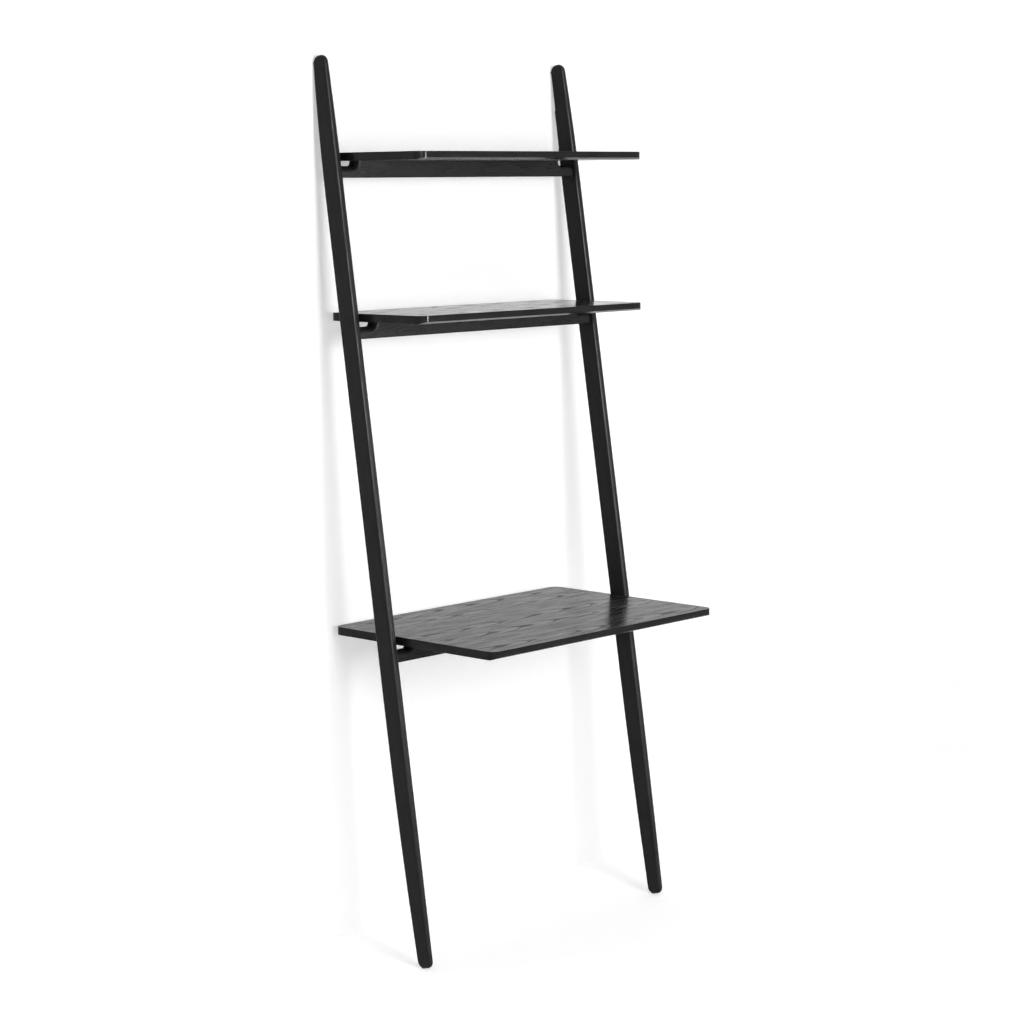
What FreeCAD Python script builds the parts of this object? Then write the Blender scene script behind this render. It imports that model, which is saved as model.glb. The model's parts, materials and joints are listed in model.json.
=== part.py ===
import FreeCAD, Part
import math
import os

# Ladder desk: a desk board and two shelves, each carried on one cross rail
# between two stiles that lean against a wall.  Every board is screwed down to
# its rail and tied to the wall by two angle brackets under its back edge.
#
# Frame: origin on the floor at the middle of the footprint, +X to the right,
# -Y towards the user, +Y towards the wall, +Z up.  Millimetres.

Vec = FreeCAD.Vector
X_AXIS = Vec(1, 0, 0)
Y_AXIS = Vec(0, 1, 0)
Z_AXIS = Vec(0, 0, 1)
SIDES = {"left": -1, "right": 1}

# --- Whole object ---------------------------------------------------------
WIDTH = 800.0
DEPTH = 514.0
HEIGHT = 2000.0
WALL_Y = DEPTH / 2
FIT = 0.1                      # radial clearance of every piece set in a hole

# --- Stiles ---------------------------------------------------------------
STILE_THICK = 18.0
STILE_DEPTH = 50.0
STILE_EDGE_R = 6.0
LEAN = math.radians(8.4)
STILE_FRONT_Y = -81.0          # front face, carried down to the floor
STILE_INNER_X = WIDTH / 2 - STILE_THICK
FOOT_TAPER = 550.0             # length over which the stile thins to the foot
FOOT_FRONT_IN = 0.0
FOOT_REAR_IN = 9.2
FOOT_OUTER_IN = 5.0
FOOT_END_R = 15.0              # rounding of the square-cut foot, seen from the side
FOOT_CLEAR = 0.6               # wood above the floor, the pad stands proud
TIP_TAPER = 295.0              # the same at the upper end
TIP_FRONT_IN = 4.2
TIP_REAR_IN = 6.5
TIP_OUTER_IN = 4.2
TIP_END_R = 18.0
STILE_Y = STILE_FRONT_Y + STILE_DEPTH / 2 / math.cos(LEAN)

# --- Boards ---------------------------------------------------------------
BOARD_WIDTH = 740.0
BOARD_THICK = 18.5
BOARD_CORNER_R = 22.0
BOARD_ARRIS = 0.8
BOARD_BACK_Y = WALL_Y - 14.0
BEVEL_HEIGHT = 4.4             # bevel under the front edge
BEVEL_REACH = 12.0
SHELF_DEPTH = 295.0
BOARDS = {
    "desk": {"node": "desk_board", "top": 720.0, "depth": 500.0},
    "middle": {"node": "middle_shelf", "top": 1428.5, "depth": SHELF_DEPTH},
    "top": {"node": "top_shelf", "top": 1784.0, "depth": SHELF_DEPTH},
}

# --- Rails ----------------------------------------------------------------
RAIL_HEIGHT = 37.5
RAIL_THICK = 30.0
RAIL_FORWARD = 4.0             # rail in front of the middle of the stile
RAIL_EDGE_R = 3.0
NOTCH_LENGTH = 46.0
NOTCH_DEPTH = 11.0
NOTCH_CORNER_R = 10.0
NOTCH_EDGE_R = 13.0
NECK_HEIGHT = RAIL_HEIGHT - NOTCH_DEPTH

# --- Rail end joint: one cam, one cam bolt and one dowel -------------------
CAM_R = 6.0
CAM_HEIGHT = 14.0
CAM_FROM_END = 24.0
CAM_SLOT = 1.6
BOLT_UP = 9.0                  # bolt axis above the rail's lower face
BOLT_THREAD_R = 2.5
BOLT_THREAD_LENGTH = 10.0
BOLT_SHANK_R = 2.0
BOLT_HEAD_R = 3.2
BOLT_HEAD_LENGTH = 3.0
BOLT_HOLE_R = 3.5
DOWEL_UP = 19.5
DOWEL_R = 3.0
DOWEL_IN_STILE = 10.0
DOWEL_IN_RAIL = 14.0

# --- Screws: board to rail, bracket to board -------------------------------
RAIL_SCREW_X = (-280.0, -95.0, 95.0, 280.0)
RAIL_SCREW_R = 2.0
RAIL_SCREW_SEAT = 14.0         # depth of the counterbore under its head
RAIL_SCREW_BITE = 13.0         # length in the board
RAIL_SCREW_HEAD_R = 4.0
RAIL_SCREW_HEAD = 3.0
SEAT_R = 4.6
CLEARANCE_R = 2.4
BRACKET_SCREW_R = 1.75
BRACKET_SCREW_BITE = 11.0
BRACKET_SCREW_HEAD_R = 3.5
BRACKET_SCREW_HEAD = 2.2
DRIVE_SLOT = 1.0

# --- Wall brackets --------------------------------------------------------
BRACKET_X = 200.0
BRACKET_WIDTH = 30.0
BRACKET_THICK = 2.5
BRACKET_BEND_R = 2.0
BRACKET_DROP = 34.0
BRACKET_UNDER = 26.0           # reach under the board from its back edge
BRACKET_SCREW_PITCH = 16.0
BRACKET_SCREW_IN = 14.0        # screws in front of the board's back edge
WALL_HOLE_R = 2.75
WALL_HOLE_DOWN = 20.0

# --- Rubber pads ----------------------------------------------------------
FOOT_PAD_R = 4.5
FOOT_PAD_SEAT = 5.0
WALL_PAD_R = 4.0
WALL_PAD_LENGTH = 7.0


def mirrored(shape):
    """The same shape on the other side of the middle plane."""
    return shape.mirror(Vec(0, 0, 0), X_AXIS)


def cylinder(radius, length, base, axis):
    return Part.makeCylinder(radius, length, base, axis)


def lean(shape):
    """Carry a shape from the upright stile frame to its leaning place."""
    shape.rotate(Vec(0, 0, 0), X_AXIS, -math.degrees(LEAN))
    shape.translate(Vec(0, STILE_Y, 0))
    return shape


def stile_middle_y(z):
    """Middle of the stile's depth at height z."""
    return STILE_Y + z * math.tan(LEAN)


def underside(name):
    return BOARDS[name]["top"] - BOARD_THICK


def rail_bottom(name):
    return underside(name) - RAIL_HEIGHT


def rail_y(name):
    return stile_middle_y(rail_bottom(name) + RAIL_HEIGHT / 2) - RAIL_FORWARD


# --- Stile ----------------------------------------------------------------
# In the upright frame Z runs along the stile and Y across its depth.

def heel_across():
    """Centre of the rounding at the rear of the foot."""
    return STILE_DEPTH / 2 - FOOT_REAR_IN - FOOT_END_R


def foot_end():
    """Foot end along the stile, whose heel hangs just clear of the floor."""
    centre_height = FOOT_CLEAR + FOOT_END_R
    return (centre_height + heel_across() * math.sin(LEAN)) / math.cos(LEAN) - FOOT_END_R


def tip_end():
    """Upper end along the stile, whose front rounding reaches the full height."""
    brow_across = TIP_FRONT_IN + TIP_END_R - STILE_DEPTH / 2
    centre_height = HEIGHT - TIP_END_R
    return (centre_height + brow_across * math.sin(LEAN)) / math.cos(LEAN) + TIP_END_R


def taper(face, inset, start, end, point):
    """Arc from the straight face at start to the inset face at end."""
    if inset == 0:
        return Part.makeLine(point(face, start), point(face, end))
    quarter = point(face + inset / 4, (start + end) / 2)
    return Part.Arc(point(face, start), quarter, point(face + inset, end)).toShape()


def tapered_outline(low, high, point):
    """Closed face of a bar between two sides that each taper at both ends.

    low and high are (face, foot inset, tip inset).
    """
    foot_start = foot_end() + FOOT_TAPER
    tip_start = tip_end() - TIP_TAPER
    edges = []
    for face, foot_in, tip_in in (low, high):
        edges.append(taper(face, foot_in, foot_start, foot_end(), point))
        edges.append(Part.makeLine(point(face, foot_start), point(face, tip_start)))
        edges.append(taper(face, tip_in, tip_start, tip_end(), point))
    low_foot, high_foot = [point(side[0] + side[1], foot_end()) for side in (low, high)]
    low_tip, high_tip = [point(side[0] + side[2], tip_end()) for side in (low, high)]
    edges.append(Part.makeLine(low_foot, high_foot))
    edges.append(Part.makeLine(low_tip, high_tip))
    return Part.Face(Part.Wire(Part.__sortEdges__(edges)))


def stile_side_outline():
    return tapered_outline(
        (-STILE_DEPTH / 2, FOOT_FRONT_IN, TIP_FRONT_IN),
        (STILE_DEPTH / 2, -FOOT_REAR_IN, -TIP_REAR_IN),
        lambda across, along: Vec(-WIDTH / 2, across, along))


def stile_front_outline():
    return tapered_outline(
        (-WIDTH / 2, FOOT_OUTER_IN, TIP_OUTER_IN),
        (-STILE_INNER_X, 0.0, 0.0),
        lambda across, along: Vec(across, -STILE_DEPTH / 2, along))


def end_edges(bar, end):
    """The two edges across the bar's thickness at one of its square-cut ends."""
    return [e for e in bar.Edges
            if e.BoundBox.XLength > STILE_THICK / 2
            and e.BoundBox.ZLength < 0.01
            and abs(e.BoundBox.ZMin - end) < 1]


def is_rim_edge(edge):
    """True for the edges that run round the outer and the inner face."""
    box = edge.BoundBox
    seam = box.ZLength < 0.01 and foot_end() + 1 < box.ZMin < tip_end() - 1
    return box.XLength < STILE_THICK / 2 and not seam


def make_left_stile():
    side = stile_side_outline().extrude(Vec(STILE_THICK, 0, 0))
    front = stile_front_outline().extrude(Vec(0, STILE_DEPTH, 0))
    bar = side.common(front).removeSplitter()
    bar = bar.makeFillet(FOOT_END_R, end_edges(bar, foot_end()))
    bar = bar.makeFillet(TIP_END_R, end_edges(bar, tip_end()))
    stile = lean(bar.makeFillet(STILE_EDGE_R, [e for e in bar.Edges if is_rim_edge(e)]))
    stile = stile.cut(foot_pad_solid(FIT))
    stile = stile.cut(wall_pad_solid(FIT))
    for name in BOARDS:
        stile = stile.cut(cam_bolt_thread(name, FIT))
        stile = stile.cut(dowel_solid(name, FIT))
    return stile


# --- Pads -----------------------------------------------------------------

def pad_x(outer_inset):
    """Middle of the left stile's thickness where it has thinned."""
    return -(WIDTH / 2 - outer_inset + STILE_INNER_X) / 2


def foot_pad_solid(grow=0.0):
    """Rubber plug at the lowest point of the left foot, cut level at the floor."""
    lowest = heel_across() + FOOT_END_R * math.sin(LEAN)
    seat = foot_end() + FOOT_PAD_SEAT + grow
    base = Vec(pad_x(FOOT_OUTER_IN), lowest, seat)
    plug = lean(cylinder(FOOT_PAD_R + grow, 3 * FOOT_PAD_SEAT, base, -Z_AXIS))
    below = Part.makeBox(WIDTH, DEPTH, 50, Vec(-WIDTH / 2, -DEPTH / 2, -50))
    return plug.cut(below)


def wall_pad_height():
    """Height of the tip's rearmost place, at the centre of its rear rounding."""
    across = STILE_DEPTH / 2 - TIP_REAR_IN - TIP_END_R
    return (tip_end() - TIP_END_R) * math.cos(LEAN) - across * math.sin(LEAN)


def wall_pad_solid(grow=0.0):
    """Rubber plug in the left stile's upper end, flush against the wall."""
    base = Vec(pad_x(TIP_OUTER_IN), WALL_Y - WALL_PAD_LENGTH - grow, wall_pad_height())
    return cylinder(WALL_PAD_R + grow, WALL_PAD_LENGTH + grow, base, Y_AXIS)


# --- Board ----------------------------------------------------------------

def rounded_slab(width, depth, thick, radius):
    slab = Part.makeBox(width, depth, thick, Vec(-width / 2, -depth, 0))
    upright = [e for e in slab.Edges if e.BoundBox.ZLength > thick / 2]
    return slab.makeFillet(radius, upright)


def front_bevel(depth):
    """Wedge taken off the underside along the front edge."""
    past = 5.0
    slope = BEVEL_HEIGHT / BEVEL_REACH
    start = -BOARD_WIDTH / 2 - past
    corners = [
        Vec(start, BEVEL_REACH - depth, 0),
        Vec(start, BEVEL_REACH - depth, -past),
        Vec(start, -depth - past, -past),
        Vec(start, -depth - past, BEVEL_HEIGHT + past * slope),
    ]
    wedge = Part.Face(Part.makePolygon(corners + corners[:1]))
    return wedge.extrude(Vec(BOARD_WIDTH + 2 * past, 0, 0))


def make_board(name):
    depth = BOARDS[name]["depth"]
    slab = rounded_slab(BOARD_WIDTH, depth, BOARD_THICK, BOARD_CORNER_R)
    rims = [e for e in slab.Edges if e.BoundBox.ZLength < BOARD_THICK / 2]
    board = slab.makeFillet(BOARD_ARRIS, rims).cut(front_bevel(depth))
    board.translate(Vec(0, BOARD_BACK_Y, underside(name)))
    for x in RAIL_SCREW_X:
        at = Vec(x, rail_y(name), underside(name))
        board = board.cut(cylinder(RAIL_SCREW_R + FIT, RAIL_SCREW_BITE + 1, at, Z_AXIS))
    for at in bracket_screw_places(name):
        board = board.cut(cylinder(BRACKET_SCREW_R + FIT, BRACKET_SCREW_BITE + 1, at, Z_AXIS))
    return board


# --- Rail -----------------------------------------------------------------
# Built with its lower face at z = 0 and its thickness centred on y = 0.

def rail_outline():
    """Front view of the rail: a bar notched from above at both ends."""
    wall = STILE_INNER_X - NOTCH_LENGTH
    bend = NECK_HEIGHT + NOTCH_CORNER_R
    turn = NOTCH_CORNER_R * (1 - math.sqrt(0.5))
    edges = [
        Part.makeLine(Vec(-STILE_INNER_X, 0, 0), Vec(STILE_INNER_X, 0, 0)),
        Part.makeLine(Vec(-wall, 0, RAIL_HEIGHT), Vec(wall, 0, RAIL_HEIGHT)),
    ]
    for side in SIDES.values():
        end = side * STILE_INNER_X
        floor = Vec(side * (wall + NOTCH_CORNER_R), 0, NECK_HEIGHT)
        corner = Vec(side * (wall + turn), 0, NECK_HEIGHT + turn)
        foot = Vec(side * wall, 0, bend)
        edges.append(Part.makeLine(Vec(end, 0, 0), Vec(end, 0, NECK_HEIGHT)))
        edges.append(Part.makeLine(Vec(end, 0, NECK_HEIGHT), floor))
        edges.append(Part.Arc(floor, corner, foot).toShape())
        edges.append(Part.makeLine(foot, Vec(side * wall, 0, RAIL_HEIGHT)))
    return Part.Face(Part.Wire(Part.__sortEdges__(edges)))


def is_notch_edge(edge):
    """True for the front and rear edges of the notches' floors and walls."""
    box = edge.BoundBox
    across = box.YLength < 0.01
    above = box.ZMin > NECK_HEIGHT - 0.01
    outside = max(abs(box.XMin), abs(box.XMax)) > STILE_INNER_X - NOTCH_LENGTH - 0.01
    return across and above and outside and box.XLength < NOTCH_LENGTH


def is_lower_edge(edge):
    return edge.BoundBox.ZMax < 0.01 and edge.BoundBox.YLength < 0.01


def make_rail(name):
    outline = rail_outline()
    outline.translate(Vec(0, -RAIL_THICK / 2, 0))
    rail = outline.extrude(Vec(0, RAIL_THICK, 0))
    rail = rail.makeFillet(NOTCH_EDGE_R, [e for e in rail.Edges if is_notch_edge(e)])
    rail = rail.makeFillet(RAIL_EDGE_R, [e for e in rail.Edges if is_lower_edge(e)])
    rail.translate(Vec(0, rail_y(name), rail_bottom(name)))
    for x in RAIL_SCREW_X:
        at = Vec(x, rail_y(name), rail_bottom(name))
        rail = rail.cut(cylinder(SEAT_R, RAIL_SCREW_SEAT, at, Z_AXIS))
        rail = rail.cut(cylinder(CLEARANCE_R, RAIL_HEIGHT, at, Z_AXIS))
    return rail.cut(end_joint_holes(name)).cut(mirrored(end_joint_holes(name)))


def end_joint_holes(name):
    """Cam pocket, bolt hole and dowel hole in the rail's left end."""
    pocket = cylinder(CAM_R + FIT, CAM_HEIGHT + FIT, cam_base(name), Z_AXIS)
    end = Vec(-STILE_INNER_X, rail_y(name), rail_bottom(name) + BOLT_UP)
    bolt_hole = cylinder(BOLT_HOLE_R, CAM_FROM_END, end, X_AXIS)
    return pocket.fuse(bolt_hole).fuse(dowel_solid(name, FIT))


# --- Rail end hardware, left end ------------------------------------------

def cam_base(name):
    return Vec(CAM_FROM_END - STILE_INNER_X, rail_y(name), rail_bottom(name))


def make_cam(name):
    """Cam barrel with a driver slot below and a way in for the bolt head."""
    base = cam_base(name)
    barrel = cylinder(CAM_R, CAM_HEIGHT, base, Z_AXIS)
    slot_corner = base - Vec(CAM_R, CAM_SLOT / 2, 0)
    slot = Part.makeBox(2 * CAM_R, CAM_SLOT, CAM_SLOT, slot_corner)
    bolt_way = base + Vec(-2 * CAM_R, 0, BOLT_UP)
    throat = cylinder(BOLT_HEAD_R + FIT, 3 * CAM_R, bolt_way, X_AXIS)
    return barrel.cut(slot).cut(throat)


def cam_bolt_thread(name, grow=0.0):
    start = Vec(-STILE_INNER_X, rail_y(name), rail_bottom(name) + BOLT_UP)
    return cylinder(BOLT_THREAD_R + grow, BOLT_THREAD_LENGTH + grow, start, -X_AXIS)


def make_cam_bolt(name):
    """Thread in the stile, shank in the rail, head caught in the cam."""
    start = Vec(-STILE_INNER_X, rail_y(name), rail_bottom(name) + BOLT_UP)
    shank = cylinder(BOLT_SHANK_R, CAM_FROM_END, start, X_AXIS)
    head_at = start + Vec(CAM_FROM_END - BOLT_HEAD_LENGTH, 0, 0)
    head = cylinder(BOLT_HEAD_R, BOLT_HEAD_LENGTH, head_at, X_AXIS)
    return cam_bolt_thread(name).fuse(shank).fuse(head).removeSplitter()


def dowel_solid(name, grow=0.0):
    start = Vec(-STILE_INNER_X - DOWEL_IN_STILE - grow, rail_y(name), rail_bottom(name) + DOWEL_UP)
    return cylinder(DOWEL_R + grow, DOWEL_IN_STILE + DOWEL_IN_RAIL + 2 * grow, start, X_AXIS)


# --- Screws ---------------------------------------------------------------

def screw(seat, head_r, head_height, shank_r, length):
    """Round-head screw pointing up, the face under its head at seat."""
    head = cylinder(head_r, head_height, seat - Vec(0, 0, head_height), Z_AXIS)
    rim = [e for e in head.Edges if e.BoundBox.ZMax < seat.z - head_height / 2]
    head = head.makeFillet(head_height * 0.6, rim)
    for turned in (0, 90):
        slot = Part.makeBox(head_r, DRIVE_SLOT, head_height * 0.6)
        slot.translate(Vec(-head_r / 2, -DRIVE_SLOT / 2, 0))
        slot.rotate(Vec(0, 0, 0), Z_AXIS, turned)
        slot.translate(seat - Vec(0, 0, head_height))
        head = head.cut(slot)
    return head.fuse(cylinder(shank_r, length, seat, Z_AXIS)).removeSplitter()


def make_rail_screws(name):
    seat_z = rail_bottom(name) + RAIL_SCREW_SEAT
    length = RAIL_HEIGHT - RAIL_SCREW_SEAT + RAIL_SCREW_BITE
    return [screw(Vec(x, rail_y(name), seat_z), RAIL_SCREW_HEAD_R, RAIL_SCREW_HEAD,
                  RAIL_SCREW_R, length) for x in RAIL_SCREW_X]


def bracket_screw_places(name):
    y = BOARD_BACK_Y - BRACKET_SCREW_IN
    return [Vec(side * BRACKET_X + step * BRACKET_SCREW_PITCH / 2, y, underside(name))
            for side in SIDES.values() for step in (-1, 1)]


def make_bracket_screws(name):
    drop = Vec(0, 0, BRACKET_THICK)
    return [screw(place - drop, BRACKET_SCREW_HEAD_R, BRACKET_SCREW_HEAD,
                  BRACKET_SCREW_R, BRACKET_THICK + BRACKET_SCREW_BITE)
            for place in bracket_screw_places(name)]


# --- Wall bracket ---------------------------------------------------------

def make_bracket(name, side):
    """Bent steel angle from the board's underside to the wall."""
    x = side * BRACKET_X
    top = underside(name)
    front = BOARD_BACK_Y - BRACKET_UNDER
    reach = WALL_Y - front
    left = x - BRACKET_WIDTH / 2
    outer = Part.makeBox(BRACKET_WIDTH, reach, BRACKET_DROP, Vec(left, front, top - BRACKET_DROP))
    inner = Part.makeBox(BRACKET_WIDTH, reach - BRACKET_THICK, BRACKET_DROP - BRACKET_THICK,
                         Vec(left, front, top - BRACKET_DROP))
    outer = outer.makeFillet(BRACKET_BEND_R + BRACKET_THICK, bend_edges(outer, WALL_Y, top))
    inner = inner.makeFillet(
        BRACKET_BEND_R, bend_edges(inner, WALL_Y - BRACKET_THICK, top - BRACKET_THICK))
    angle = outer.cut(inner)
    wall_hole = Vec(x, WALL_Y - 2 * BRACKET_THICK, top - WALL_HOLE_DOWN)
    angle = angle.cut(cylinder(WALL_HOLE_R, 3 * BRACKET_THICK, wall_hole, Y_AXIS))
    for place in bracket_screw_places(name):
        start = place - Vec(0, 0, 2 * BRACKET_THICK)
        angle = angle.cut(cylinder(BRACKET_SCREW_R + FIT, 3 * BRACKET_THICK, start, Z_AXIS))
    return angle


def bend_edges(box, y, z):
    """The long edge of a box that lies at the given y and z."""
    return [e for e in box.Edges
            if e.BoundBox.XLength > BRACKET_WIDTH / 2
            and abs(e.BoundBox.YMax - y) < 0.01
            and abs(e.BoundBox.ZMax - z) < 0.01]


# --- Assembly -------------------------------------------------------------

def on_both_sides(shapes):
    return shapes + [mirrored(shape) for shape in shapes]


def write(node, solids):
    """Save one node, as a single solid or as a group of separate ones."""
    shape = solids[0] if len(solids) == 1 else Part.makeCompound(solids)
    shape.exportStep("parts/%s.step" % node)


os.makedirs("parts", exist_ok=True)

left_pieces = {
    "stile": make_left_stile(),
    "foot_pad": foot_pad_solid(),
    "wall_pad": wall_pad_solid(),
}
for piece, shape in left_pieces.items():
    write(piece + "_left", [shape])
    write(piece + "_right", [mirrored(shape)])

for name, board in BOARDS.items():
    write(board["node"], [make_board(name)])
    write(name + "_rail", [make_rail(name)])
    write(name + "_rail_screws", make_rail_screws(name))
    write(name + "_bracket_screws", make_bracket_screws(name))
    write(name + "_cams", on_both_sides([make_cam(name)]))
    write(name + "_cam_bolts", on_both_sides([make_cam_bolt(name)]))
    write(name + "_dowels", on_both_sides([dowel_solid(name)]))
    for side, sign in SIDES.items():
        write("%s_wall_bracket_%s" % (name, side), [make_bracket(name, sign)])
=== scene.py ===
import json
import math

import bpy
from mathutils import Matrix, Vector


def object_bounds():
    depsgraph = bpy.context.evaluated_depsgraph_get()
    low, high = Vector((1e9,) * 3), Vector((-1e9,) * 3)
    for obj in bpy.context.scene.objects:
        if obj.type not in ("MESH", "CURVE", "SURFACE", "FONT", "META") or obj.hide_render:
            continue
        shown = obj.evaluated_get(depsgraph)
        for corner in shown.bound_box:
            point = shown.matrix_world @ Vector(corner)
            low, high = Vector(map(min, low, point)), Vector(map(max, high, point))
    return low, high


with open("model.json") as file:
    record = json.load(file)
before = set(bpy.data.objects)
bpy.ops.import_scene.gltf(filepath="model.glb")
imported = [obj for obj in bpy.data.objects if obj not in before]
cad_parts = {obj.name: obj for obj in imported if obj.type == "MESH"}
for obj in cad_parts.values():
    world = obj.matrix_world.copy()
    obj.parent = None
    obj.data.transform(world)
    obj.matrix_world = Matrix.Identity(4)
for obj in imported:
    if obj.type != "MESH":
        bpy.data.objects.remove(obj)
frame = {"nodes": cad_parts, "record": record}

# Looks of the ladder desk: black-stained oak with open grain, black brackets, plated fasteners,
# beech dowels and rubber pads, in front of a plain wall on a plain floor.

cad_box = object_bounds()
WALL_Y = cad_box[1][1]
LEAN = math.radians(8.4)

# Stained oak: its tone, and its lacquer
STAIN = 0.012
LACQUER_IOR = 1.2

# Gloss of each kind of piece, as the least roughness of its lacquer
STILE_ROUGHNESS = 0.30
RAIL_ROUGHNESS = 0.24
SHELF_ROUGHNESS = 0.08
DESK_ROUGHNESS = 0.17

# Year rings, in metres: length of a ring, how far it slants, how it arches, and a joint of two leaves.
# A leaf's width, and its heart from the joint, make the figure straight or flowered.
RING_LENGTH = 0.115
RING_SLANT = 0.5
ARCH = 210.0
JOINT = -0.025
STRAIGHT = (0.04, -0.08)
FLOWERED = (0.1065, 0.039)
RING_PROFILE = [(0.0, 0.0), (0.08, 1.0), (0.20, 0.8), (0.45, 0.0)]

# Edges of a veneered board: how far a surface turns to count as one, the way to the heart there,
# and how much of the grain they lose
EDGE_FACING = 0.7
EDGE_HEART = 0.1
EDGE_CALM = 0.85

# Camera: place in metres, turn from +Y towards +X, tilt, roll, and its lens
IMAGE = 1024
CAMERA_AT = Vector((-4.1544, -3.9139, 1.7075))
CAMERA_TURN = math.radians(46.48)
CAMERA_TILT = math.radians(-4.05)
CAMERA_ROLL = math.radians(-0.584)
FOCAL_PIXELS = 2509.8
HORIZON_CENTRE = 363.2         # image row that the lens axis meets
SENSOR = 36.0
FAR = 60.0

# Studio, in metres: half its width, the wall's height, and the gap behind and under the object
REACH = 9.0
WALL_HEIGHT = 6.0
GAP = 0.0005
NEAR = 0.8                     # how far from the object the papers start to turn plain white
AWAY = 2.4                     # and how far away they are
WORLD_LIGHT = 0.25             # strength of the world on the object
BOUNCE = 0.86                  # how pale the papers are to the light they throw on
CHEST = (0.0, 0.0, 1.0)        # middle of the object, which the narrow lamps point at


# --- Node helpers -----------------------------------------------------------

class Graph:
    """Node tree of a new material or world, with short ways to add and link nodes."""

    def __init__(self, name, world=False):
        self.owner = bpy.data.worlds.new(name) if world else bpy.data.materials.new(name)
        self.owner.use_nodes = True
        self.tree = self.owner.node_tree
        self.tree.nodes.clear()
        self.output = self.node("OutputWorld" if world else "OutputMaterial")

    def node(self, kind, settings=None, **inputs):
        """Adds a node. Inputs are values or other nodes' sockets, named with _ for a space."""
        made = self.tree.nodes.new("ShaderNode" + kind)
        for key, value in (settings or {}).items():
            setattr(made, key, value)
        for key, value in inputs.items():
            self.put(made.inputs[key.replace("_", " ")], value)
        return made

    def put(self, socket, value):
        """Sets a socket, or links it to another node's socket."""
        if isinstance(value, bpy.types.NodeSocket):
            self.tree.links.new(value, socket)
        else:
            socket.default_value = value

    def math(self, operation, first, second=0.0):
        made = self.tree.nodes.new("ShaderNodeMath")
        made.operation = operation
        self.put(made.inputs[0], first)
        self.put(made.inputs[1], second)
        return made.outputs[0]

    def noise(self, place, stretch=None, **inputs):
        """Noise at a place, which stretch scales along its axes. The node, for its outputs."""
        if stretch:
            place = self.node("Mapping", Vector=place, Scale=stretch).outputs[0]
        return self.node("TexNoise", Vector=place, **inputs)

    def ramp(self, value, stops):
        """Straight ramp through (place, brightness) stops."""
        made = self.tree.nodes.new("ShaderNodeValToRGB")
        made.color_ramp.interpolation = "LINEAR"
        elements = made.color_ramp.elements
        while len(elements) < len(stops):
            elements.new(0.5)
        for element, (place, tone) in zip(elements, stops):
            element.position = place
            element.color = (tone, tone, tone, 1.0)
        self.put(made.inputs[0], value)
        return made.outputs[0]

    def blend(self, amount, first, second):
        """Colour between first and second."""
        made = self.tree.nodes.new("ShaderNodeMix")
        made.data_type = "RGBA"
        self.put(made.inputs[0], amount)
        self.put(made.inputs[6], first)
        self.put(made.inputs[7], second)
        return made.outputs[2]

    def mix(self, amount, first, second):
        """Shader between first and second."""
        made = self.tree.nodes.new("ShaderNodeMixShader")
        self.put(made.inputs[0], amount)
        self.put(made.inputs[1], first.outputs[0])
        self.put(made.inputs[2], second.outputs[0])
        return made

    def finish(self, shader):
        self.tree.links.new(shader.outputs[0], self.output.inputs["Surface"])
        return self.owner


def grey(tone, warmth=0.0):
    return (tone * (1 + warmth), tone, tone * (1 - warmth), 1.0)


# --- Materials --------------------------------------------------------------

def banded(g, place):
    """Grain of a veneered board: flat on its faces, and along the bands on its edges.

    Gives the place for the grain, and 1 on the bands.
    """
    at = g.node("SeparateXYZ", Vector=place).outputs
    facing = g.node("SeparateXYZ", Vector=g.node("NewGeometry").outputs["Normal"]).outputs
    end = g.math("GREATER_THAN", g.math("ABSOLUTE", facing["X"]), EDGE_FACING)
    edge = g.math("LESS_THAN", g.math("ABSOLUTE", facing["Z"]), EDGE_FACING)
    along = g.math("ADD", g.math("MULTIPLY", end, g.math("SUBTRACT", at["Y"], at["X"])), at["X"])
    across = g.math("ADD", g.math("MULTIPLY", edge, g.math("SUBTRACT", at["Z"], at["Y"])), at["Y"])
    return g.node("CombineXYZ", X=along, Y=across).outputs[0], edge


def year_rings(g, laid, leaf, heart):
    """Early wood, 0 to 1. Leaves are matched at their joints, and rings arch across each heart."""
    wander = g.noise(laid, (6.0, 10.0, 10.0), Scale=1.0, Detail=2.0).outputs["Color"]
    strayed = g.node("VectorMath", {"operation": "MULTIPLY_ADD"})
    g.put(strayed.inputs[0], wander)
    g.put(strayed.inputs[1], (0.20, 0.024, 0.024))
    g.put(strayed.inputs[2], laid)
    at = g.node("SeparateXYZ", Vector=strayed.outputs[0]).outputs
    across = g.math("ADD", at["Y"], g.math("MULTIPLY", at["Z"], RING_SLANT))
    off_joint = g.math("PINGPONG", g.math("SUBTRACT", across, JOINT), leaf)
    off_heart = g.math("SUBTRACT", off_joint, heart)
    arch = g.math("MULTIPLY", g.math("MULTIPLY", off_heart, off_heart), ARCH)
    ring = g.math("FRACT", g.math("DIVIDE", g.math("ADD", at["X"], arch), RING_LENGTH))
    return g.ramp(ring, RING_PROFILE)


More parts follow.
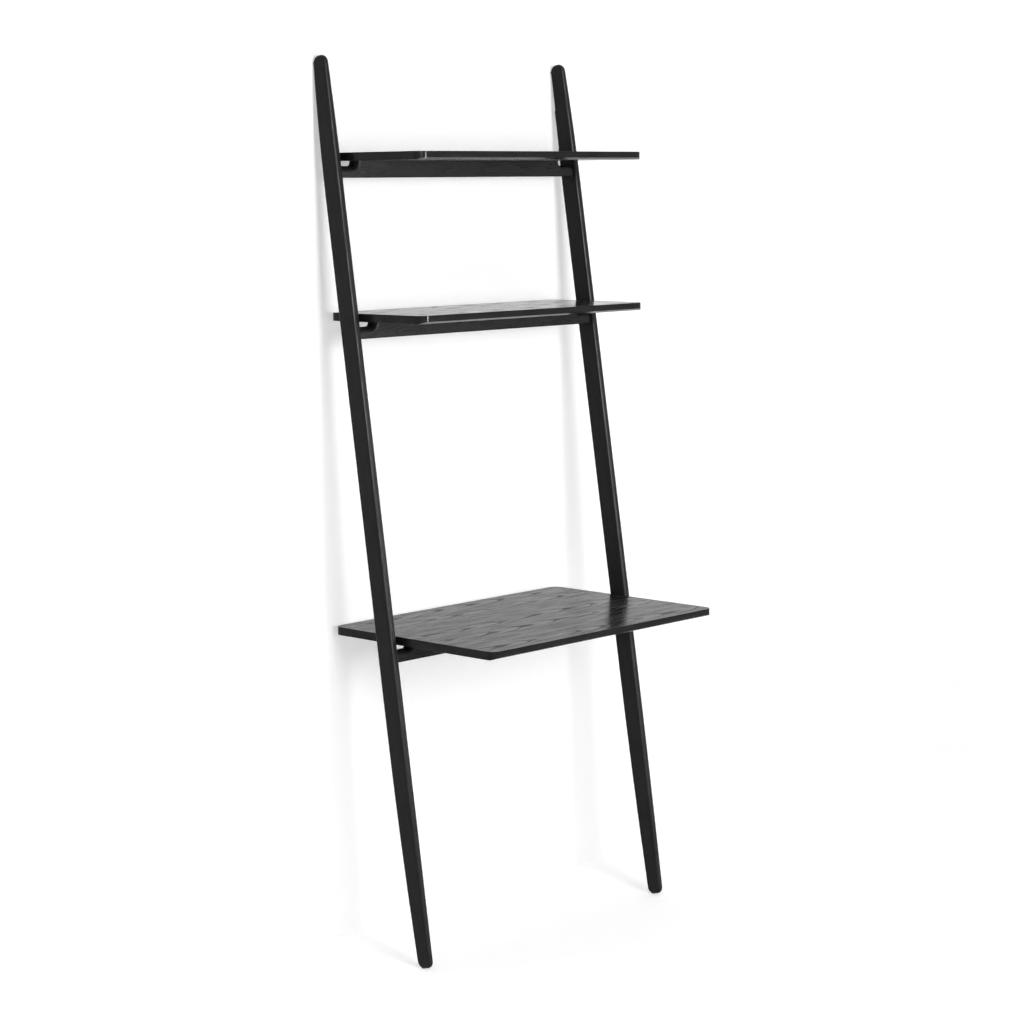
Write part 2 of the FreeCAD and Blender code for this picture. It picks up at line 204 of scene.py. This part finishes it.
def stained_oak(name, turn, leaf, heart, roughness, board=False):
    """Black-stained oak. turn lays the grain, which runs along local X, on the piece."""
    g = Graph(name)
    place = g.node("TexCoord").outputs["Object"]
    if board:
        place, edge = banded(g, place)
        heart = g.math("SUBTRACT", heart, g.math("MULTIPLY", edge, EDGE_HEART))
    laid = g.node("Mapping", Vector=place, Rotation=turn).outputs[0]
    early = year_rings(g, laid, leaf, heart)

    # Clouds of tone, fine fibres, and pores that open most in early wood
    cloud = g.noise(laid, (9.0, 45.0, 45.0), Scale=1.0, Detail=3.0, Roughness=0.6).outputs["Fac"]
    fibre = g.noise(laid, (30.0, 700.0, 700.0), Scale=1.0, Detail=2.0, Roughness=0.6).outputs["Fac"]
    pores = g.noise(laid, (160.0, 2400.0, 2400.0), Scale=1.0, Detail=1.0).outputs["Fac"]
    open_pores = g.ramp(g.math("ADD", pores, g.math("MULTIPLY", early, 0.12)), [(0.60, 0.0), (0.68, 1.0)])
    # The edges of a board show little of both
    if board:
        shown = g.math("SUBTRACT", 1.0, g.math("MULTIPLY", edge, EDGE_CALM))
        early = g.math("MULTIPLY", early, shown)
        open_pores = g.math("MULTIPLY", open_pores, shown)

    # Pores are darker and lie deeper, and early wood, patches and pores dull the lacquer
    patch = g.ramp(cloud, [(0.38, 0.0), (0.66, 1.0)])
    colour = g.blend(patch, grey(STAIN * 0.8, 0.02), grey(STAIN * 1.2, 0.02))
    colour = g.blend(open_pores, colour, grey(STAIN * 0.4))
    rough_early = g.math("MULTIPLY", early, g.ramp(cloud, [(0.35, 0.06), (0.70, 0.28)]))
    matt = g.math("ADD", g.math("ADD", rough_early, roughness), g.math("MULTIPLY", patch, 0.09))
    matt = g.math("ADD", matt, g.math("MULTIPLY", open_pores, 0.2))
    hollow = g.math("ADD", g.math("MULTIPLY", open_pores, -1.0), g.math("MULTIPLY", fibre, 0.35))
    relief = g.node("Bump", Strength=0.12, Distance=0.0002, Height=hollow)
    wood = g.node("BsdfPrincipled", Base_Color=colour, Roughness=matt, IOR=LACQUER_IOR,
                  Normal=relief.outputs[0])
    return g.finish(wood)


def powder_coat(name):
    g = Graph(name)
    place = g.node("TexCoord").outputs["Object"]
    peel = g.noise(place, Scale=900.0, Detail=2.0).outputs["Fac"]
    patch = g.noise(place, Scale=30.0, Detail=3.0).outputs["Fac"]
    colour = g.blend(patch, grey(0.012), grey(0.024))
    matt = g.ramp(patch, [(0.3, 0.42), (0.7, 0.55)])
    relief = g.node("Bump", Strength=0.25, Distance=0.0003, Height=peel)
    coat = g.node("BsdfPrincipled", Base_Color=colour, Roughness=matt, Normal=relief.outputs[0])
    return g.finish(coat)


def plated_steel(name):
    g = Graph(name)
    place = g.node("TexCoord").outputs["Object"]
    stain = g.noise(place, Scale=220.0, Detail=4.0).outputs["Fac"]
    scratches = g.noise(place, Scale=2600.0, Detail=2.0).outputs["Fac"]
    colour = g.blend(stain, grey(0.42, 0.02), grey(0.62))
    matt = g.ramp(stain, [(0.3, 0.26), (0.7, 0.42)])
    relief = g.node("Bump", Strength=0.15, Distance=0.0001, Height=scratches)
    steel = g.node("BsdfPrincipled", Base_Color=colour, Metallic=1.0, Roughness=matt,
                   Normal=relief.outputs[0])
    return g.finish(steel)


def beech(name):
    g = Graph(name)
    place = g.node("TexCoord").outputs["Object"]
    fibres = g.noise(place, (60.0, 1400.0, 1400.0), Scale=1.0, Detail=3.0).outputs["Fac"]
    colour = g.blend(fibres, (0.42, 0.25, 0.13, 1.0), (0.62, 0.42, 0.25, 1.0))
    relief = g.node("Bump", Strength=0.3, Distance=0.0002, Height=fibres)
    matt = g.ramp(fibres, [(0.3, 0.55), (0.7, 0.7)])
    wood = g.node("BsdfPrincipled", Base_Color=colour, Roughness=matt, Normal=relief.outputs[0])
    return g.finish(wood)


def rubber(name):
    g = Graph(name)
    place = g.node("TexCoord").outputs["Object"]
    dust = g.noise(place, Scale=160.0, Detail=4.0).outputs["Fac"]
    grain = g.noise(place, Scale=3000.0, Detail=1.0).outputs["Fac"]
    colour = g.blend(dust, grey(0.012), grey(0.03))
    matt = g.ramp(dust, [(0.3, 0.6), (0.7, 0.8)])
    relief = g.node("Bump", Strength=0.3, Distance=0.0001, Height=grain)
    skin = g.node("BsdfPrincipled", Base_Color=colour, Roughness=matt, Normal=relief.outputs[0])
    return g.finish(skin)


def shows_white(g, ray):
    """1 for view, gloss and glass rays, to which the studio is white."""
    seen = g.math("MAXIMUM", ray.outputs["Is Camera Ray"], ray.outputs["Is Glossy Ray"])
    return g.math("MAXIMUM", seen, ray.outputs["Is Transmission Ray"])


def studio_paper(name, tone, glow):
    """Plain pale surface, shown white: a glow, and a tone that holds its shadows.

    It turns plain white away from the object, and a view goes through its back.
    """
    g = Graph(name)
    ray = g.node("LightPath")
    seen = shows_white(g, ray)
    surface = g.node("NewGeometry").outputs
    at = g.node("SeparateXYZ", Vector=surface["Position"]).outputs
    squares = g.math("ADD", g.math("MULTIPLY", at["X"], at["X"]), g.math("MULTIPLY", at["Y"], at["Y"]))
    near = g.node("MapRange", Value=g.math("SQRT", squares), From_Min=NEAR, From_Max=AWAY,
                  To_Min=1.0, To_Max=0.0).outputs[0]
    shade = g.blend(near, grey(0.0), grey(tone))
    shown = g.math("SUBTRACT", 1.0, g.math("MULTIPLY", near, 1.0 - glow))
    paper = g.node("BsdfDiffuse", Color=g.blend(seen, grey(BOUNCE), shade))
    white = g.node("Emission", Strength=g.math("MULTIPLY", seen, shown))
    lit = g.node("AddShader")
    g.put(lit.inputs[0], paper.outputs[0])
    g.put(lit.inputs[1], white.outputs[0])
    behind = g.math("MULTIPLY", surface["Backfacing"], ray.outputs["Is Camera Ray"])
    return g.finish(g.mix(behind, lit, g.node("BsdfTransparent")))


# --- Dressing the frame -----------------------------------------------------

def paint(node, material):
    """Gives every material slot of a CAD node the material."""
    for slot in frame["nodes"][node].material_slots:
        slot.material = material


def dress_frame():
    """Gives each CAD node its look, by its material slot. Stiles and desk have their own."""
    flat = (0.0, 0.0, 0.0)
    upright = (LEAN, math.radians(90), 0.0)
    stile_oak = stained_oak("stile_oak", upright, *STRAIGHT, STILE_ROUGHNESS)
    rail_oak = stained_oak("rail_oak", flat, *STRAIGHT, RAIL_ROUGHNESS)
    shelf_veneer = stained_oak("shelf_veneer", flat, *FLOWERED, SHELF_ROUGHNESS, board=True)
    desk_veneer = stained_oak("desk_veneer", flat, *FLOWERED, DESK_ROUGHNESS, board=True)
    looks = {
        "black_oak": rail_oak,
        "black_veneer": shelf_veneer,
        "black_steel": powder_coat("bracket_coat"),
        "zinc_steel": plated_steel("plated_steel"),
        "beech": beech("dowel_beech"),
        "rubber": rubber("pad_rubber"),
    }
    for part in frame["record"]["subparts"]:
        look = looks[part["material_slot"]]
        if part["node"].startswith("stile"):
            look = stile_oak
        elif part["node"] == "desk_board":
            look = desk_veneer
        paint(part["node"], look)


# --- Studio -----------------------------------------------------------------

def sheet(name, corners, material):
    """Four-cornered sheet of the studio."""
    mesh = bpy.data.meshes.new(name)
    mesh.from_pydata(corners, [], [(0, 1, 2, 3)])
    mesh.materials.append(material)
    made = bpy.data.objects.new(name, mesh)
    bpy.context.collection.objects.link(made)


def make_stage():
    wall_y = WALL_Y + GAP
    floor_paper = studio_paper("floor_paper", 1.0, 0.39)
    wall_paper = studio_paper("wall_paper", 0.72, 0.42)
    sheet("floor", [(-REACH, -REACH, -GAP), (REACH, -REACH, -GAP),
                    (REACH, wall_y, -GAP), (-REACH, wall_y, -GAP)], floor_paper)
    sheet("wall", [(-REACH, wall_y, -GAP), (REACH, wall_y, -GAP),
                   (REACH, wall_y, WALL_HEIGHT), (-REACH, wall_y, WALL_HEIGHT)], wall_paper)


def soft_box(name, place, target, size, power):
    """Rectangular lamp at a place, pointing at a target. Its size is width and height in metres."""
    lamp = bpy.data.lights.new(name, "AREA")
    lamp.shape = "RECTANGLE"
    lamp.size, lamp.size_y = size
    lamp.energy = power
    made = bpy.data.objects.new(name, lamp)
    made.location = place
    made.rotation_euler = (Vector(target) - Vector(place)).to_track_quat("-Z", "Y").to_euler()
    bpy.context.collection.objects.link(made)
    return made


def around(azimuth, distance, height):
    """Place at that height, seen from the object at azimuth degrees from the front towards +X."""
    turn = math.radians(azimuth)
    return (distance * math.sin(turn), -distance * math.cos(turn), height)


def make_light():
    g = Graph("studio", world=True)
    seen = shows_white(g, g.node("LightPath"))
    level = g.math("ADD", WORLD_LIGHT, g.math("MULTIPLY", seen, 1.0 - WORLD_LIGHT))
    bpy.context.scene.world = g.finish(g.node("Background", Color=grey(1.0), Strength=level))

    # One large box lights the studio. It points past the object, which evens the light on the wall.
    past = (3.5, 0.0, 1.0)
    key = soft_box("key", around(-15.0, 5.0, 1.95), past, (1.95, 2.1), 216.0)
    key.visible_glossy = False
    # Two narrow ones show only in the lacquer
    left_strip = soft_box("left_strip", around(-24.0, 9.0, 3.3), CHEST, (3.6, 1.1), 2200.0)
    right_strip = soft_box("right_strip", around(27.0, 5.6, 1.4), CHEST, (1.3, 1.1), 210.0)
    for strip in (left_strip, right_strip):
        strip.visible_diffuse = False


def make_camera():
    ahead = Vector((math.sin(CAMERA_TURN) * math.cos(CAMERA_TILT),
                    math.cos(CAMERA_TURN) * math.cos(CAMERA_TILT),
                    math.sin(CAMERA_TILT)))
    level = Vector((math.cos(CAMERA_TURN), -math.sin(CAMERA_TURN), 0.0))
    over = level.cross(ahead)
    right = math.cos(CAMERA_ROLL) * level + math.sin(CAMERA_ROLL) * over
    up = math.cos(CAMERA_ROLL) * over - math.sin(CAMERA_ROLL) * level
    data = bpy.data.cameras.new("camera")
    data.sensor_width = SENSOR
    data.lens = SENSOR * FOCAL_PIXELS / IMAGE
    data.shift_y = (HORIZON_CENTRE - IMAGE / 2) / IMAGE
    data.clip_end = FAR
    camera = bpy.data.objects.new("camera", data)
    axes = Matrix((right, up, -ahead)).transposed()
    camera.matrix_world = Matrix.Translation(CAMERA_AT) @ axes.to_4x4()
    bpy.context.collection.objects.link(camera)
    bpy.context.scene.camera = camera


dress_frame()
make_stage()
make_light()
make_camera()
bpy.context.scene.view_settings.view_transform = "Standard"
